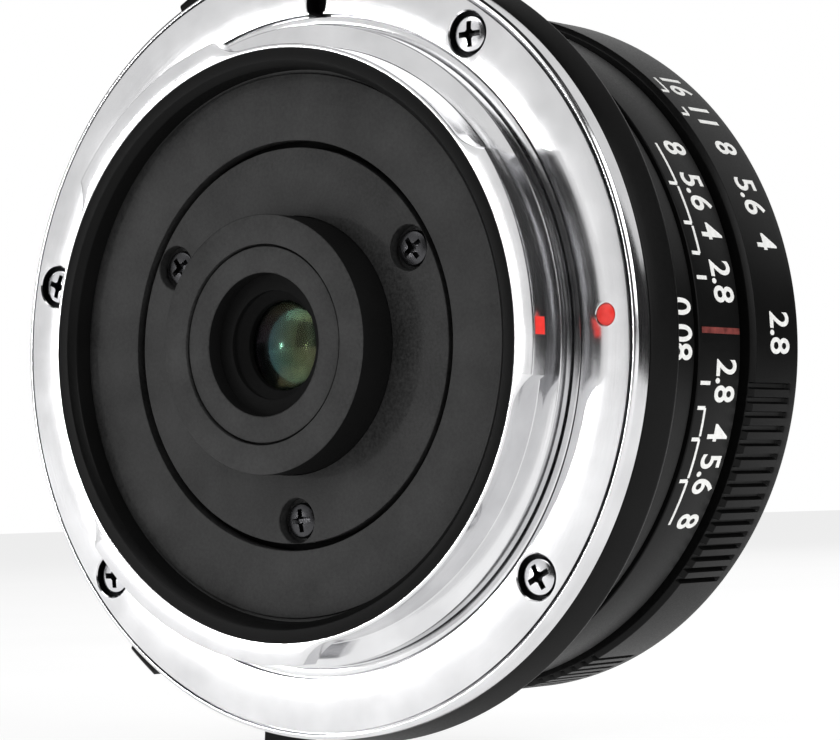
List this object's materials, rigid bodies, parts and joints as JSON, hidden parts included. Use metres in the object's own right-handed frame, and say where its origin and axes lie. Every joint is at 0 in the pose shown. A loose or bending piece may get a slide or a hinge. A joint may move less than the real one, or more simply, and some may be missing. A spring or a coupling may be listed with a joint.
{
  "type": "camera lens",
  "caption": "Compact manual fisheye prime lens with a three-lug bayonet, focus ring, aperture ring and domed front glass.",
  "frame": {"origin": "on the optical axis, in the plane of the bayonet flange's mating face", "axes": "+Y along the optical axis out of the bayonet, so the front glass faces -Y; the index line is at -X, and the locking-pin slot at the top is 4 degrees from +Z"},
  "size_m": [0.0509, 0.03, 0.0507],
  "materials": {
    "mount_chrome": "satin brushed",
    "screw_steel": "polished",
    "screw_black": "blackened",
    "index_red": "gloss",
    "brass": "turned",
    "barrel_black": "satin black anodised",
    "baffle_black": "matt black anodised",
    "inner_alloy": "turned",
    "blade_steel": "blackened",
    "lens_glass": "multi-coated"
  },
  "bodies": {
    "root": {"mount_flange": "mount_chrome", "mount_screws": "screw_steel", "mount_index_dot": "index_red", "mount_shim": "brass", "rear_baffle": "baffle_black", "fixed_barrel": "inner_alloy", "depth_scale_ring": "barrel_black", "scale_ring_screws": "screw_black", "guide_keys": "brass", "guide_key_screws": "screw_steel", "helicoid_retainer": "inner_alloy"},
    "focus": {"focus_ring": "barrel_black", "focus_drive_screws": "screw_steel", "helicoid_sleeve": "brass"},
    "lens_head": {"head_barrel": "inner_alloy", "rear_cover": "baffle_black", "rear_cover_screws": "screw_black", "rear_cell": "baffle_black", "rear_retainer": "baffle_black", "rear_mask": "baffle_black", "rear_element": "lens_glass", "rear_spacer": "inner_alloy", "doublet_flint": "lens_glass", "doublet_crown": "lens_glass", "mid_spacer": "inner_alloy", "mid_element": "lens_glass", "rear_group_retainer": "inner_alloy", "iris_base": "inner_alloy", "third_element": "lens_glass", "front_spacer": "inner_alloy", "second_element": "lens_glass", "front_inner_retainer": "inner_alloy", "front_housing": "inner_alloy", "front_element": "lens_glass", "front_bezel": "barrel_black"},
    "aperture": {"aperture_ring": "barrel_black", "aperture_lever": "screw_steel", "aperture_lever_screws": "screw_steel", "iris_actuator": "inner_alloy"},
    "blade_1": {"iris_blade_1": "blade_steel"},
    "blade_2": {"iris_blade_2": "blade_steel"},
    "blade_3": {"iris_blade_3": "blade_steel"},
    "blade_4": {"iris_blade_4": "blade_steel"},
    "blade_5": {"iris_blade_5": "blade_steel"},
    "blade_6": {"iris_blade_6": "blade_steel"},
    "blade_7": {"iris_blade_7": "blade_steel"}
  },
  "joints": [
    {"name": "focus_turn", "type": "hinge", "parent": "root", "child": "focus", "pos_m": [0, -0.007, 0], "axis": [0, 1, 0], "range_deg": [0, 90]},
    {"name": "head_travel", "type": "slide", "parent": "root", "child": "lens_head", "axis": [0, 1, 0], "range_m": [0, 0.00025]},
    {"name": "stop_turn", "type": "hinge", "parent": "lens_head", "child": "aperture", "pos_m": [0, -0.0189, 0], "axis": [0, -1, 0], "range_deg": [0, 46.1]},
    {"name": "blade_1_swing", "type": "hinge", "parent": "lens_head", "child": "blade_1", "pos_m": [0.008, -0.0109, 0], "axis": [0, -1, 0], "range_deg": [0, 11.1]},
    {"name": "blade_2_swing", "type": "hinge", "parent": "lens_head", "child": "blade_2", "pos_m": [0.00499, -0.0109, 0.00625], "axis": [0, -1, 0], "range_deg": [0, 11.1]},
    {"name": "blade_3_swing", "type": "hinge", "parent": "lens_head", "child": "blade_3", "pos_m": [-0.00178, -0.0109, 0.0078], "axis": [0, -1, 0], "range_deg": [0, 11.1]},
    {"name": "blade_4_swing", "type": "hinge", "parent": "lens_head", "child": "blade_4", "pos_m": [-0.00721, -0.0109, 0.00347], "axis": [0, -1, 0], "range_deg": [0, 11.1]},
    {"name": "blade_5_swing", "type": "hinge", "parent": "lens_head", "child": "blade_5", "pos_m": [-0.00721, -0.0109, -0.00347], "axis": [0, -1, 0], "range_deg": [0, 11.1]},
    {"name": "blade_6_swing", "type": "hinge", "parent": "lens_head", "child": "blade_6", "pos_m": [-0.00178, -0.0109, -0.0078], "axis": [0, -1, 0], "range_deg": [0, 11.1]},
    {"name": "blade_7_swing", "type": "hinge", "parent": "lens_head", "child": "blade_7", "pos_m": [0.00499, -0.0109, -0.00625], "axis": [0, -1, 0], "range_deg": [0, 11.1]}
  ],
  "couplings": [
    {"joint": "focus_turn", "follows": "head_travel", "rad_per_m": 6283.2},
    {"joint": "blade_1_swing", "follows": "stop_turn", "ratio": 0.24078},
    {"joint": "blade_2_swing", "follows": "stop_turn", "ratio": 0.24078},
    {"joint": "blade_3_swing", "follows": "stop_turn", "ratio": 0.24078},
    {"joint": "blade_4_swing", "follows": "stop_turn", "ratio": 0.24078},
    {"joint": "blade_5_swing", "follows": "stop_turn", "ratio": 0.24078},
    {"joint": "blade_6_swing", "follows": "stop_turn", "ratio": 0.24078},
    {"joint": "blade_7_swing", "follows": "stop_turn", "ratio": 0.24078}
  ]
}
